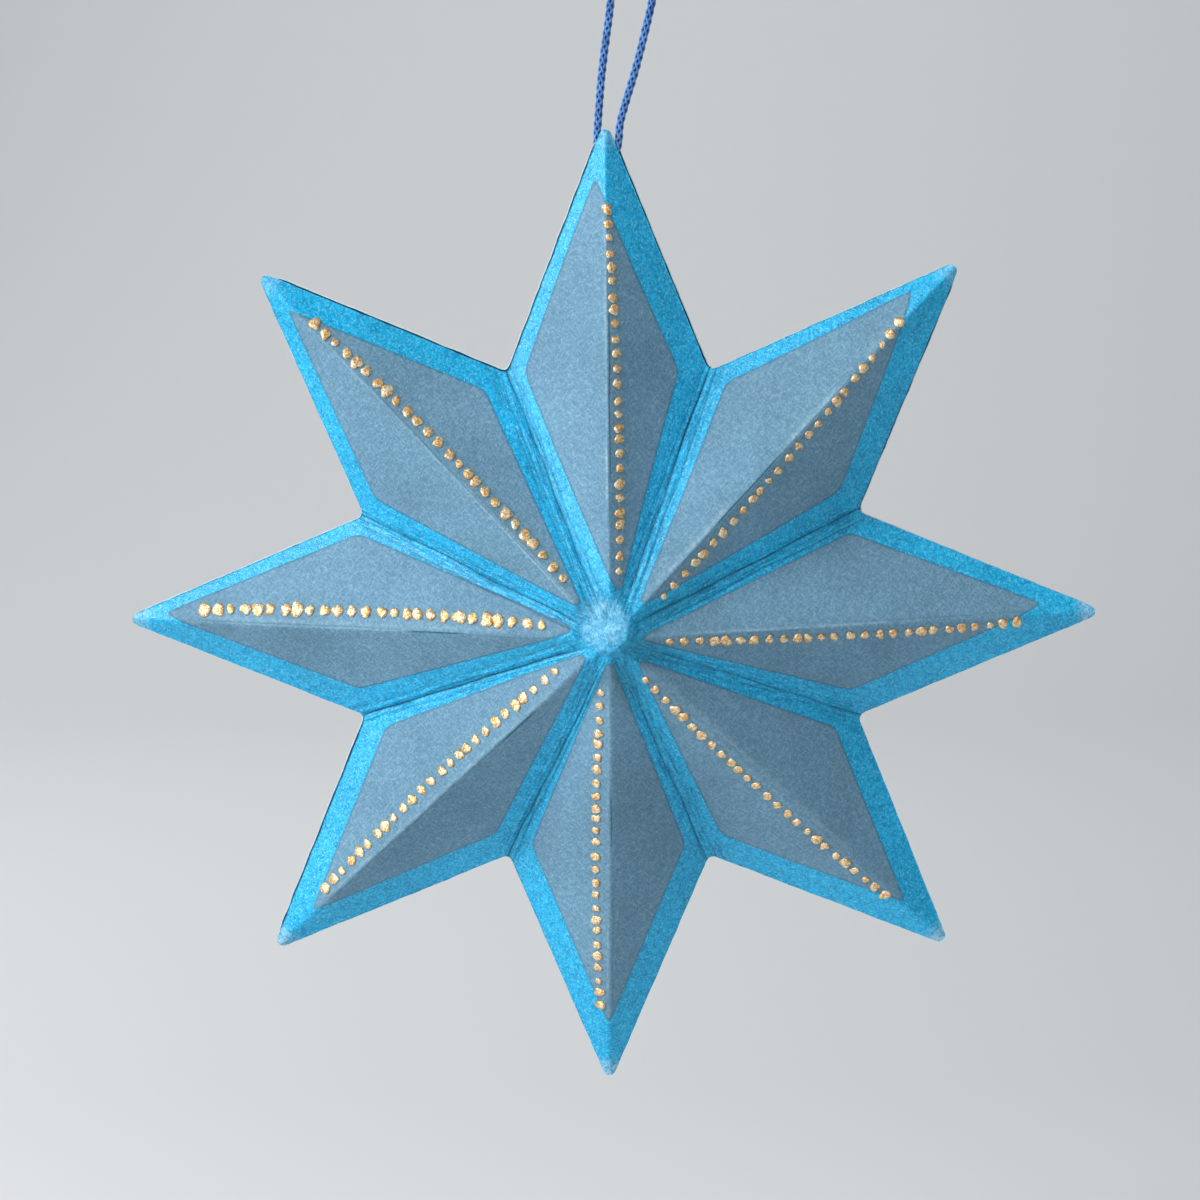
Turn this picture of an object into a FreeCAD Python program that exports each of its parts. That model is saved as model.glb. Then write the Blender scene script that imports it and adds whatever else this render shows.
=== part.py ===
import FreeCAD, Part
import math
import os

from FreeCAD import Vector

os.makedirs("parts", exist_ok=True)

# Folded paper star with eight rays, hollow, hung from a loop of cord. All sizes are in millimetres.
# The star stands upright: its rays lie in the XZ plane, its front looks along -Y and one ray points up.
# The origin is the inside of the loop's top, where the star hangs from a twig or a hook.

# Driving dimensions of the star
RAYS = 8
TIP_RADIUS = 76.0  # from the centre to where a ray's two cut edges would meet
INNER_RADIUS = 41.1  # from the centre to the inner corner between two rays
CENTRE_RISE = 20.9  # from the cut edge up to the centre of one sheet, before it is blunted
PAPER = 0.5  # thickness of the handmade paper

# Cut edge of a sheet
TIP_ROUND = 1.0  # radius of a worn tip
CORNER_ROUND = 1.2  # radius of an inner corner
GLUED_FLAT = 0.27  # width of the strip that is pressed flat where the two sheets meet

# Folds of a sheet
FOLD_INSIDE = 0.3  # bend radius on the hollow side of a fold
SCORE_DEPTH = 0.1  # depth of a scored line
SCORE_HALF_WIDTH = 0.11  # half of its width
SCORE_SPACING = 0.56  # between the two scored lines that lie along a ridge
PLEAT_RADIUS = 0.7  # radius of the narrow pleat that stands up in a valley
PLEAT_SINK = 0.35  # how far the pleat's axis lies under the bottom of the valley

# Gathered centre of a sheet
BUTTON_RADIUS = 2.4  # flat, pressed spot where all the folds meet
BUTTON_CUT = 0.25  # how much of the sharp centre is lost
BUTTON_DEPTH = 1.6  # its side runs down into the valleys

# Hanging cord
CORD = 1.2  # diameter
CORD_CLEARANCE = 0.05  # between the cord and the notches that it lies in
KNOT_RADIUS = 1.62  # radius of the barrel-shaped knot
KNOT_BELOW_TIP = 8.0  # from the top ray's sharp tip down to the middle of the knot
KNOT_TURNS = 2
KNOT_TURN_SPACING = 1.5
KNOT_GROOVE = 0.25  # depth and half width of the groove between two turns
TAIL_LENGTH = 6.0  # each of the cord's two ends under the knot
TAIL_SPLAY = 14.0  # degrees

STRAND_SIDE = CORD * 0.535  # in the knot the two strands lie this far either side of the middle
NOTCH_DEPTH = CORD * 0.375  # the strands leave the seam this far behind the rim plane

# The top ray's sharp tip, from the inside of the loop's top
SHARP_TIP = Vector(-5.2, 0.0, -31.4)

# Route of the cord as (x, y, z) from that sharp tip: out of the knot, out through the seam on the
# left side of the tip, up, over the twig or hook, and down the right side
ROUTE = [
    (-STRAND_SIDE, 0.10, -6.85),
    (-1.66, NOTCH_DEPTH, -4.40),
    (-1.36, NOTCH_DEPTH, -0.60),
    (-0.78, 0.36, 7.0),
    (1.15, 0.10, 20.0),
    (1.02, 0.00, 30.35),
    (5.48, 0.00, 32.63),
    (9.47, 0.00, 29.58),
    (7.55, 0.10, 20.0),
    (4.72, 0.33, 8.3),
    (2.85, 0.42, 2.4),
    (1.80, NOTCH_DEPTH, -1.20),
    (1.76, NOTCH_DEPTH, -4.40),
    (STRAND_SIDE, 0.10, -6.85),
]
ARC_SHARE = 0.45  # share of the shorter run that an arc takes at each of its ends

HALF_RAY = math.pi / RAYS
UP = Vector(0, 0, 1)


# Derived sizes of a facet

def facet_numbers():
    """Distance of a cut edge from the centre, seen from the front, and the facet's slope in radians."""
    edge = math.sqrt(TIP_RADIUS ** 2 + INNER_RADIUS ** 2
                     - 2 * TIP_RADIUS * INNER_RADIUS * math.cos(HALF_RAY))
    away = TIP_RADIUS * INNER_RADIUS * math.sin(HALF_RAY) / edge
    return away, math.atan2(CENTRE_RISE, away)


EDGE_AWAY, SLOPE = facet_numbers()
# The paper's thickness, measured straight through toward the rim plane
DEPTH = PAPER / math.cos(SLOPE)
# The outer cut edge stands this far above the rim plane, so that the flat gets its width
EDGE_RISE = PAPER * math.cos(SLOPE) - GLUED_FLAT * math.sin(SLOPE) * math.cos(SLOPE)
CENTRE_HEIGHT = EDGE_RISE + CENTRE_RISE


# A sheet is drawn lying down: its rim plane is z = 0, its centre stands up along +Z

def polar(radius, angle, z):
    return Vector(radius * math.cos(angle), radius * math.sin(angle), z)


def ray_angle(ray):
    """Direction of a ray; ray 0 becomes the top one when the sheet is stood up."""
    return math.pi / 2 - 2 * HALF_RAY * ray


def rounded_star(offset, z):
    """Outline of the star at height z, moved outward by offset, with its corners as arcs."""
    tip_lead = offset * TIP_RADIUS / EDGE_AWAY
    inner_lead = offset * INNER_RADIUS / EDGE_AWAY
    corners = []
    for ray in range(RAYS):
        corners.append((polar(TIP_RADIUS + tip_lead, ray_angle(ray), z), TIP_ROUND + offset))
        corners.append((polar(INNER_RADIUS + inner_lead, ray_angle(ray) - HALF_RAY, z),
                        CORNER_ROUND - offset))
    edges = []
    pieces = []
    for number, (corner, radius) in enumerate(corners):
        before = (corners[number - 1][0] - corner).normalize()
        after = (corners[(number + 1) % len(corners)][0] - corner).normalize()
        half = before.getAngle(after) / 2
        start = corner + before * (radius / math.tan(half))
        end = corner + after * (radius / math.tan(half))
        middle_way = (before + after).normalize()
        middle = corner + middle_way * (radius / math.sin(half) - radius)
        pieces.append((start, middle, end))
    for number, (start, middle, end) in enumerate(pieces):
        edges.append(Part.Arc(start, middle, end).toShape())
        edges.append(Part.LineSegment(end, pieces[(number + 1) % len(pieces)][0]).toShape())
    return Part.Wire(edges)


def closed_solid(outlines):
    """Solid inside flat faces, each given by its corners."""
    faces = [Part.Face(Part.makePolygon(corners + corners[:1])) for corners in outlines]
    solid = Part.Solid(Part.Shell(faces))
    return solid if solid.Volume > 0 else solid.reversed()


def folded_pyramid(drop):
    """Solid under a folded star face: sixteen flat facets that meet in the centre, lowered by drop."""
    centre = Vector(0, 0, CENTRE_HEIGHT - drop)
    beyond = 1.05
    base_z = CENTRE_HEIGHT - drop - beyond * CENTRE_RISE
    rim = []
    for ray in range(RAYS):
        rim.append(polar(TIP_RADIUS * beyond, ray_angle(ray), base_z))
        rim.append(polar(INNER_RADIUS * beyond, ray_angle(ray) - HALF_RAY, base_z))
    outlines = [[centre, rim[number - 1], rim[number]] for number in range(len(rim))]
    return closed_solid(outlines + [rim])


def crease(angle, reach, drop):
    """Frame of a fold line that runs from the centre to reach: its start, its way, across and out."""
    start = Vector(0, 0, CENTRE_HEIGHT - drop)
    way = (polar(reach, angle, CENTRE_HEIGHT - drop - CENTRE_RISE) - start).normalize()
    across = UP.cross(way).normalize()
    return start, way, across, way.cross(across)


def ridge_half_angle():
    """Half of the angle between the two facets that meet in a ridge."""
    return half_angle(TIP_RADIUS)


def half_angle(reach):
    """Half of the angle between the facets beside the fold line that ends at reach from the centre."""
    _, _, across, out = crease(0.0, reach, 0.0)
    turn = math.acos(EDGE_AWAY / reach)
    normal = polar(math.sin(SLOPE), turn, math.cos(SLOPE))
    return math.atan2(abs(normal.dot(out)), abs(normal.dot(across)))


def along_crease(points, closing, frame, first, last):
    """Prism along a fold line. Its section is a chain of (across, out) points, closed by an arc
    over closing = (middle, end) if that is given."""
    start, way, across, out = frame
    at = [start + way * first + across * u + out * v for u, v in points]
    edges = [Part.LineSegment(a, b).toShape() for a, b in zip(at, at[1:])]
    if closing:
        middle, end = (start + way * first + across * u + out * v for u, v in closing)
        edges.append(Part.Arc(at[-1], middle, end).toShape())
    else:
        edges.append(Part.LineSegment(at[-1], at[0]).toShape())
    return Part.Face(Part.Wire(edges)).extrude(way * (last - first))


def corner_rounding(frame, half, radius, side, first, last):
    """What lies between a sharp corner of two facets and its rounding, with some spare on the open side.
    side is 1 for a ridge, whose corner points out, and -1 for a valley, whose corner points in."""
    reach = radius / math.tan(half)
    u = reach * math.sin(half)
    v = -side * reach * math.cos(half)
    top = -side * (radius / math.sin(half) - radius)
    spare = side * 1.0
    return along_crease([(-u, v), (-u, spare), (u, spare), (u, v)], ((0.0, top), (-u, v)), frame, first, last)


RIDGE_END = TIP_RADIUS * 1.03
VALLEY_END = INNER_RADIUS * 1.05
FOLD_START = 1.2  # fold details start here, under the gathered centre


def outer_body():
    """Everything under the sheet's outer face, with rounded and scored ridges and a pleat in each valley."""
    body = folded_pyramid(0.0)
    ridge_half = ridge_half_angle()
    outside_bend = FOLD_INSIDE + PAPER
    ridge_top = outside_bend - outside_bend / math.sin(ridge_half)
    worked_off = []
    pleats = []
    for ray in range(RAYS):
        ridge = crease(ray_angle(ray), TIP_RADIUS, 0.0)
        worked_off.append(corner_rounding(ridge, ridge_half, outside_bend, 1, FOLD_START, RIDGE_END))
        for side in (-1, 1):
            u = side * SCORE_SPACING / 2
            skin = ridge_top - (outside_bend - math.sqrt(outside_bend ** 2 - u ** 2))
            section = [(u - 2 * SCORE_HALF_WIDTH, skin + SCORE_DEPTH),
                       (u, skin - SCORE_DEPTH),
                       (u + 2 * SCORE_HALF_WIDTH, skin + SCORE_DEPTH)]
            worked_off.append(along_crease(section, None, ridge, FOLD_START, RIDGE_END))
        start, way, _, out = crease(ray_angle(ray) - HALF_RAY, INNER_RADIUS, 0.0)
        foot = start + way * FOLD_START - out * PLEAT_SINK
        pleats.append(Part.makeCylinder(PLEAT_RADIUS, VALLEY_END - FOLD_START, foot, way))
    body = body.cut(worked_off)
    body = body.fuse(pleats)
    top = Vector(0, 0, CENTRE_HEIGHT - BUTTON_CUT)
    sharp = Part.makeCylinder(5.0, 5.0, top, UP)
    gathered = Part.makeCylinder(BUTTON_RADIUS, BUTTON_DEPTH, top - UP * BUTTON_DEPTH, UP)
    return body.cut(sharp).fuse(gathered)


def inner_body():
    """Everything under the sheet's hollow side: the same facets, one paper thickness deeper."""
    body = folded_pyramid(DEPTH)
    ridge_half = ridge_half_angle()
    valley_half = half_angle(INNER_RADIUS)
    ridge_rounds = []
    valley_rounds = []
    for ray in range(RAYS):
        ridge = crease(ray_angle(ray), TIP_RADIUS, DEPTH)
        ridge_rounds.append(corner_rounding(ridge, ridge_half, FOLD_INSIDE, 1, FOLD_START, RIDGE_END))
        valley = crease(ray_angle(ray) - HALF_RAY, INNER_RADIUS, DEPTH)
        valley_rounds.append(corner_rounding(valley, valley_half, FOLD_INSIDE + PAPER, -1,
                                             FOLD_START, VALLEY_END))
    return body.cut(ridge_rounds).fuse(valley_rounds)


def rim_scrap():
    """Paper outside the cut edge, which is square to the facets and rounded at tips and corners."""
    low, high = -0.5, EDGE_RISE + 0.5
    lean = math.tan(SLOPE)
    kept = Part.makeLoft([rounded_star((low - EDGE_RISE) * lean, low),
                          rounded_star((high - EDGE_RISE) * lean, high)], True, True)
    around = Part.makeCylinder(TIP_RADIUS * 1.2, high - low, Vector(0, 0, low), UP)
    return around.cut(kept)


def lying_sheet():
    """One folded sheet, glued flat down."""
    sheet = outer_body().cut(inner_body())
    under = Part.makeCylinder(TIP_RADIUS * 1.2, 10.0, Vector(0, 0, -10.0), UP)
    sheet = sheet.cut([rim_scrap(), under])
    return sheet.removeSplitter()


# Cord, knot and tails, drawn in their places

def rounded_path(points):
    """Straight runs joined by tangent arcs. Returns the wire and the arcs' radii."""
    edges = []
    radii = []
    at = points[0]
    for before, corner, after in zip(points, points[1:], points[2:]):
        into = corner - before
        out = after - corner
        turn = into.getAngle(out)
        lead = ARC_SHARE * min(into.Length, out.Length)
        radius = lead / math.tan(turn / 2)
        back = (into * -1).normalize()
        ahead = Vector(out).normalize()
        start = corner + back * lead
        end = corner + ahead * lead
        middle_way = (back + ahead).normalize()
        middle = corner + middle_way * (radius / math.cos(turn / 2) - radius)
        edges.append(Part.LineSegment(at, start).toShape())
        edges.append(Part.Arc(start, middle, end).toShape())
        radii.append(radius)
        at = end
    edges.append(Part.LineSegment(at, points[-1]).toShape())
    return Part.Wire(edges), radii


def tube(wire, radius):
    """Round bar along a wire."""
    first = wire.OrderedEdges[0]
    start = first.valueAt(first.FirstParameter)
    ring = Part.Wire([Part.makeCircle(radius, start, first.tangentAt(first.FirstParameter))])
    return wire.makePipeShell([ring], True, False)


def knot_barrel(middle):
    """Stopper knot: turns of cord pulled tight side by side, with the cord's two ends below."""
    height = KNOT_TURN_SPACING * KNOT_TURNS
    outline = [(0.0, 0.0), (KNOT_RADIUS, 0.0)]
    for turn in range(1, KNOT_TURNS):
        groove = KNOT_TURN_SPACING * turn
        outline.append((KNOT_RADIUS, groove - KNOT_GROOVE))
        outline.append((KNOT_RADIUS - KNOT_GROOVE, groove))
        outline.append((KNOT_RADIUS, groove + KNOT_GROOVE))
    outline += [(KNOT_RADIUS, height), (0.0, height)]
    base = middle - UP * (height / 2)
    at = [base + Vector(radius, 0, level) for radius, level in outline]
    barrel = Part.Face(Part.makePolygon(at + at[:1])).revolve(middle, UP, 360)
    ends = []
    for side in (-1, 1):
        splay = math.radians(TAIL_SPLAY) * side
        way = Vector(math.sin(splay), 0.0, -math.cos(splay))
        start = middle + Vector(side * CORD * 0.52, 0.0, 0.0)
        ends.append(Part.makeCylinder(CORD / 2, TAIL_LENGTH, start, way))
    return barrel.fuse(ends)


def standing(shape):
    """Stand a lying sheet up at the star's place, with its centre toward -Y."""
    turned = shape.copy()
    turned.rotate(Vector(0, 0, 0), Vector(1, 0, 0), 90)
    turned.translate(SHARP_TIP - UP * TIP_RADIUS)
    return turned


def save(shape, name):
    solids = shape.Solids
    print(name, "solids", len(solids), "valid", shape.isValid(), "volume mm3", round(shape.Volume, 3))
    (solids[0] if len(solids) == 1 else shape).exportStep("parts/" + name + ".step")


route = [SHARP_TIP + Vector(*point) for point in ROUTE]
cord_line, cord_radii = rounded_path(route)
cord = tube(cord_line, CORD / 2)
notch = tube(cord_line, CORD / 2 + CORD_CLEARANCE)
print("cord length mm", round(cord_line.Length, 2))
print("cord arc radii mm", [round(radius, 2) for radius in cord_radii])
print("cord volume over section times length",
      round(cord.Volume / (math.pi * CORD ** 2 / 4 * cord_line.Length), 4))

whole_front = standing(lying_sheet())
whole_back = whole_front.mirror(Vector(0, 0, 0), Vector(0, 1, 0))
front_star = whole_front.cut(notch)
back_star = whole_back.cut(notch)

# The knot is wedged in the narrowing tip, so the paper's hollow faces flatten it
hollow = standing(inner_body())
hollow_back = hollow.mirror(Vector(0, 0, 0), Vector(0, 1, 0))
knot = knot_barrel(SHARP_TIP - UP * KNOT_BELOW_TIP)
front_half = Part.makeBox(200, 100, 300, Vector(-100, -100, -250))
back_half = Part.makeBox(200, 100, 300, Vector(-100, 0, -250))
knot = knot.common(front_half).common(hollow).fuse(knot.common(back_half).common(hollow_back))
knot = knot.cut(cord).removeSplitter()

save(front_star, "front_star")
save(back_star, "back_star")
save(cord, "hanging_cord")
save(knot, "cord_knot")
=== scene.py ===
import math
import random

import bmesh
import bpy
import numpy as np
from mathutils import Matrix, Vector, kdtree, noise


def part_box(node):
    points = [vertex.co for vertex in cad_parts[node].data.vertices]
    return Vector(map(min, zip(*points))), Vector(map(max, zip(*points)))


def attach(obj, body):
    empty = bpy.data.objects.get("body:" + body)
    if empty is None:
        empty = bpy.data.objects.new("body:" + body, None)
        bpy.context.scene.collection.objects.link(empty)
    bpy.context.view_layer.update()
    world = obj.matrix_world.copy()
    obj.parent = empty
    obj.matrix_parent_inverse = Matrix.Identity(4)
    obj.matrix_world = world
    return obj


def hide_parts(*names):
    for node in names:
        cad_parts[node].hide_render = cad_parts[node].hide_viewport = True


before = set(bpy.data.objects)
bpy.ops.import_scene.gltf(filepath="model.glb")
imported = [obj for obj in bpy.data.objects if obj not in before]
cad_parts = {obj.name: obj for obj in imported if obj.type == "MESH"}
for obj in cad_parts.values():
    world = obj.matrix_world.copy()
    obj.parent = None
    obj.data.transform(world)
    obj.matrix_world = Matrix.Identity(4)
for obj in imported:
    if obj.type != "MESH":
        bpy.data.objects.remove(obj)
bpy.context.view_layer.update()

# Folded paper star with eight rays, hung from a loop of cord. Its sizes are in millimetres and are turned
# to metres when a piece is put in its place. The lamps, the sweep and the materials are in metres. Rays are
# numbered clockwise from the top one.
MM = 0.001

# The star, with the part's own sizes
RAYS = 8
TIP_RADIUS = 76.0
INNER_RADIUS = 41.1
CENTRE_RISE = 20.9
EDGE_RISE = 0.277
PAPER_DEPTH = 0.616  # the paper's thickness, measured straight through toward the rim plane
TIP_ROUND = 1.0
CORNER_ROUND = 1.2
SHARP_TIP = Vector((-5.2, 0.0, -31.4))

HALF_RAY = math.pi / RAYS
SIN, COS, TAN = math.sin(HALF_RAY), math.cos(HALF_RAY), math.tan(HALF_RAY)
CORNER_ALONG, CORNER_ACROSS = INNER_RADIUS * COS, INNER_RADIUS * SIN
EDGE_AWAY = TIP_RADIUS * INNER_RADIUS * SIN / math.hypot(TIP_RADIUS - CORNER_ALONG, CORNER_ACROSS)
RISE_PER_MM = CENTRE_RISE / EDGE_AWAY

# The rims meet at the back of the front sheet's box
RIM_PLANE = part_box("front_star")[1].y
STAR_CENTRE = Vector((SHARP_TIP.x * MM, RIM_PLANE, (SHARP_TIP.z - TIP_RADIUS) * MM))

# Cord
CORD = 1.2
STRAND_SIDE = CORD * 0.535
NOTCH_DEPTH = CORD * 0.375
# The part's route, from the top ray's sharp tip
ROUTE = [
    (-STRAND_SIDE, 0.10, -6.85),
    (-1.66, NOTCH_DEPTH, -4.40),
    (-1.36, NOTCH_DEPTH, -0.60),
    (-0.78, 0.36, 7.0),
    (1.15, 0.10, 20.0),
    (1.02, 0.00, 30.35),
    (5.48, 0.00, 32.63),
    (9.47, 0.00, 29.58),
    (7.55, 0.10, 20.0),
    (4.72, 0.33, 8.3),
    (2.85, 0.42, 2.4),
    (1.80, NOTCH_DEPTH, -1.20),
    (1.76, NOTCH_DEPTH, -4.40),
    (STRAND_SIDE, 0.10, -6.85),
]
CORE = 0.32  # radius of the cord's core
YARN = 0.2  # radius of one yarn of the braid
YARN_RING = 0.4  # the yarns' middles lie this far from the cord's middle
YARN_WEAVE = 0.055  # how far a yarn rises and sinks as it passes its neighbours
BRAID_PITCH = 5.4  # one turn of a yarn round the cord
YARNS_EACH_WAY = 4
STEPS_A_TURN = 32


# Camera, 457 mm in front of the star and a little above it. Its stand and aim are measured in
# millimetres from the star's centre
CAMERA_STAND = (1.123, -457.024, 83.089)
CAMERA_AIM = (-1.562, 0.0, 2.330)
CAMERA_ROLL = -0.401  # degrees


def place_camera():
    camera = bpy.data.objects.new("camera", bpy.data.cameras.new("camera"))
    bpy.context.collection.objects.link(camera)
    camera.data.sensor_width = 36.0
    camera.data.lens = 90.0
    camera.data.clip_start = 0.01
    stand = STAR_CENTRE + Vector(CAMERA_STAND) * MM
    aim = STAR_CENTRE + Vector(CAMERA_AIM) * MM
    turn = (aim - stand).to_track_quat("-Z", "Y").to_matrix().to_4x4()
    roll = Matrix.Rotation(math.radians(CAMERA_ROLL), 4, "Z")
    camera.matrix_world = Matrix.Translation(stand) @ turn @ roll
    bpy.context.scene.camera = camera


place_camera()


# Materials

def linear(text):
    """Linear colour of an sRGB hex value."""
    parts = [int(text[at:at + 2], 16) / 255 for at in (1, 3, 5)]
    return (*[part / 12.92 if part <= 0.04045 else ((part + 0.055) / 1.055) ** 2.4 for part in parts], 1.0)


def new_material(name):
    material = bpy.data.materials.new(name)
    material.use_nodes = True
    material.node_tree.nodes.clear()
    return material


def add(tree, kind, inputs={}, **settings):
    """Adds a node. An input is a value, a socket or a node, which stands for its first output."""
    node = tree.nodes.new("ShaderNode" + kind)
    for name, value in settings.items():
        setattr(node, name, value)
    for name, value in inputs.items():
        if isinstance(value, bpy.types.Node):
            value = value.outputs[0]
        if isinstance(value, bpy.types.NodeSocket):
            tree.links.new(value, node.inputs[name])
        else:
            node.inputs[name].default_value = value
    return node


# The screen-printed kite of a ray, by its sides: along the ridge from the centre, and half of its width
KITE_START = 4.1
KITE_END = 66.8
KITE_CORNER = (37.2, 12.0)
KITE_BLUNT = 5.5  # the narrow inner end is cut off square here, then rounded
UV_UNIT = 100.0  # millimetres in one unit of a UV map


def kite_side(end):
    """Half plane of one kite side as (along, across, constant), positive on the kite's side."""
    way = Vector((KITE_CORNER[0] - end, KITE_CORNER[1])).normalized()
    normal = Vector((way.y, -way.x)) if end < KITE_CORNER[0] else Vector((-way.y, way.x))
    return (normal.x, normal.y, -normal.x * end)


def printed_paper():
    """Handmade mulberry paper, dyed bright blue and brushed with pearl pigment: long fibres show as
    paler flecks and a felted grain with a satin gloss, and the pressed valleys are streaked. The kites
    are screen printed over it in a matt blue-grey ink that shows the paper's fine crossed laid lines."""
    material = new_material("pearl_mulberry_paper")
    tree = material.node_tree
    place = add(tree, "TexCoord").outputs["Object"]

    fold = add(tree, "Mapping", {"Vector": add(tree, "UVMap", uv_map="fold"), "Scale": (UV_UNIT, UV_UNIT, 1)})
    split = add(tree, "SeparateXYZ", {0: fold})
    off_ridge = add(tree, "Math", {0: split.outputs[1]}, operation="ABSOLUTE")
    beside = add(tree, "CombineXYZ", {0: split.outputs[0], 1: off_ridge})
    off_valley, down_valley = [
        add(tree, "VectorMath", {0: beside, 1: way}, operation="DOT_PRODUCT").outputs["Value"]
        for way in ((SIN, -COS, 0), (COS, SIN, 0))]

    # Felted fibres about 0.9 mm long, fine grain about 0.35 mm, and cloudy dye about 14 mm wide
    felt = add(tree, "TexNoise", {"Vector": place, "Scale": 1150.0, "Detail": 3.0, "Roughness": 0.68,
                                  "Distortion": 1.1})
    grain = add(tree, "TexNoise", {"Vector": place, "Scale": 2900.0, "Detail": 1.0, "Roughness": 0.6})
    cloud = add(tree, "TexNoise", {"Vector": place, "Scale": 70.0, "Detail": 4.0, "Roughness": 0.6})
    # The weave is really about 0.15 mm and is drawn at 0.36 mm, as fine as it can show
    woven = [add(tree, "TexNoise", {"Vector": add(tree, "Mapping", {
        "Vector": place, "Rotation": (0, math.radians(angle), 0), "Scale": (0.00034, 1.0, 0.0012)},
        vector_type="TEXTURE"), "Scale": 1.0, "Detail": 1.0}) for angle in (45, -45)]
    weave = add(tree, "Math", {0: woven[0], 1: woven[1]}, operation="MAXIMUM")
    # Streaks about 0.25 mm wide and 3 mm long beside the valleys, unlike from ray to ray
    drift = add(tree, "SeparateXYZ", {0: place})
    level = add(tree, "Math", {0: drift.outputs[0], 1: 60.0}, operation="MULTIPLY")
    streak = add(tree, "CombineXYZ", {0: add(tree, "Math", {0: off_valley, 1: 3.4}, operation="MULTIPLY"),
                                      1: add(tree, "Math", {0: down_valley, 1: 0.33}, operation="MULTIPLY"),
                                      2: level})
    streak = add(tree, "TexNoise", {"Vector": streak, "Scale": 1.0, "Detail": 2.0, "Roughness": 0.6,
                                    "Distortion": 0.5})
    pressed = add(tree, "MapRange", {0: off_valley, 1: 0.8, 2: 2.6, 3: 1.0, 4: 0.2})

    # Printed kite
    print_map = add(tree, "Mapping", {"Vector": add(tree, "UVMap", uv_map="print"),
                                      "Scale": (UV_UNIT, UV_UNIT, 1)})
    split = add(tree, "SeparateXYZ", {0: print_map})
    squared = add(tree, "Math", {0: split.outputs[1], 1: split.outputs[1], 2: 0.09}, operation="MULTIPLY_ADD")
    rounded = add(tree, "Math", {0: squared}, operation="SQRT")
    spot = add(tree, "CombineXYZ", {0: split.outputs[0], 1: rounded, 2: 1.0})
    sides = [add(tree, "VectorMath", {0: spot, 1: side}, operation="DOT_PRODUCT").outputs["Value"]
             for side in (kite_side(KITE_START), kite_side(KITE_END), (1.0, 0.0, -KITE_BLUNT))]
    inside = add(tree, "Math", {0: sides[0], 1: sides[1], 2: 1.2}, operation="SMOOTH_MIN")
    inside = add(tree, "Math", {0: inside, 1: sides[2], 2: 0.7}, operation="SMOOTH_MIN")
    ragged = add(tree, "Math", {0: felt, 1: 0.5, 2: -0.25}, operation="MULTIPLY_ADD")
    inside = add(tree, "Math", {0: inside, 1: ragged}, operation="ADD")
    ink = add(tree, "MapRange", {0: inside, 1: -0.08, 2: 0.08, 3: 0.0, 4: 1.0},
              interpolation_type="SMOOTHSTEP")
    off_outline = add(tree, "Math", {0: add(tree, "Math", {0: inside, 1: 0.06}, operation="SUBTRACT")},
                      operation="ABSOLUTE")
    outline = add(tree, "MapRange", {0: off_outline, 1: 0.06, 2: 0.2, 3: 0.35, 4: 0.0})

    # Creases where the ink has cracked along a ridge, dark lines of painted shade in the valley creases and
    # below the crushed middle, and pale scuffs with a painted highlight on the crushed middle
    dark_and_pale = add(tree, "SeparateXYZ", {0: add(tree, "UVMap", uv_map="dark_and_pale")})
    patchiness = add(tree, "MapRange", {0: felt, 1: 0.4, 2: 0.62, 3: 0.15, 4: 0.9})
    scuff_and_highlight = add(tree, "Math", {0: dark_and_pale.outputs[1], 1: patchiness}, operation="MULTIPLY")
    broken = add(tree, "MapRange", {0: grain, 1: 0.36, 2: 0.5, 3: 0.6, 4: 1.0})
    crease_and_shade = add(tree, "Math", {0: dark_and_pale.outputs[0], 1: broken}, operation="MULTIPLY")

    tone = add(tree, "MapRange", {0: felt, 1: 0.34, 2: 0.66, 3: 0.0, 4: 1.0})
    blue = add(tree, "Mix", {0: tone, 6: linear("#0290C4"), 7: linear("#14BEF2")}, data_type="RGBA")
    fleck = add(tree, "MapRange", {0: grain, 1: 0.53, 2: 0.66, 3: 0.0, 4: 0.75})
    blue = add(tree, "Mix", {0: fleck, 6: blue.outputs[2], 7: linear("#62D0F5")}, data_type="RGBA")
    furrow = add(tree, "MapRange", {0: streak, 1: 0.5, 2: 0.64, 3: 0.0, 4: 0.7})
    furrow = add(tree, "Math", {0: furrow, 1: pressed}, operation="MULTIPLY")
    blue = add(tree, "Mix", {0: furrow, 6: blue.outputs[2], 7: linear("#0279A6")}, data_type="RGBA")
    crossed = add(tree, "MapRange", {0: weave, 1: 0.45, 2: 0.72, 3: 0.0, 4: 1.0})
    printed = add(tree, "Mix", {0: crossed, 6: linear("#5C88A2"), 7: linear("#749DB7")}, data_type="RGBA")
    pale = add(tree, "MapRange", {0: grain, 1: 0.52, 2: 0.68, 3: 0.0, 4: 0.35})
    printed = add(tree, "Mix", {0: pale, 6: printed.outputs[2], 7: linear("#9DC0D3")}, data_type="RGBA")
    colour = add(tree, "Mix", {0: ink, 6: blue.outputs[2], 7: printed.outputs[2]}, data_type="RGBA")
    # Pale scuffs and worn white tips, and the pale painted highlight on the crushed middle
    colour = add(tree, "Mix", {0: scuff_and_highlight, 6: colour.outputs[2], 7: linear("#B4D2E0")}, data_type="RGBA")
    # The ink outline, then the dark crease marks, which carry painted shade in the valley creases and below
    # the crushed middle
    for mask, dark in ((outline, "#2A5468"), (crease_and_shade, "#0C4C60")):
        colour = add(tree, "Mix", {0: mask, 6: colour.outputs[2], 7: linear(dark)}, data_type="RGBA")
    shade = add(tree, "MapRange", {0: cloud, 1: 0.3, 2: 0.7, 3: 0.88, 4: 1.12})
    colour = add(tree, "VectorMath", {0: colour.outputs[2], 3: shade}, operation="SCALE")

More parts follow.
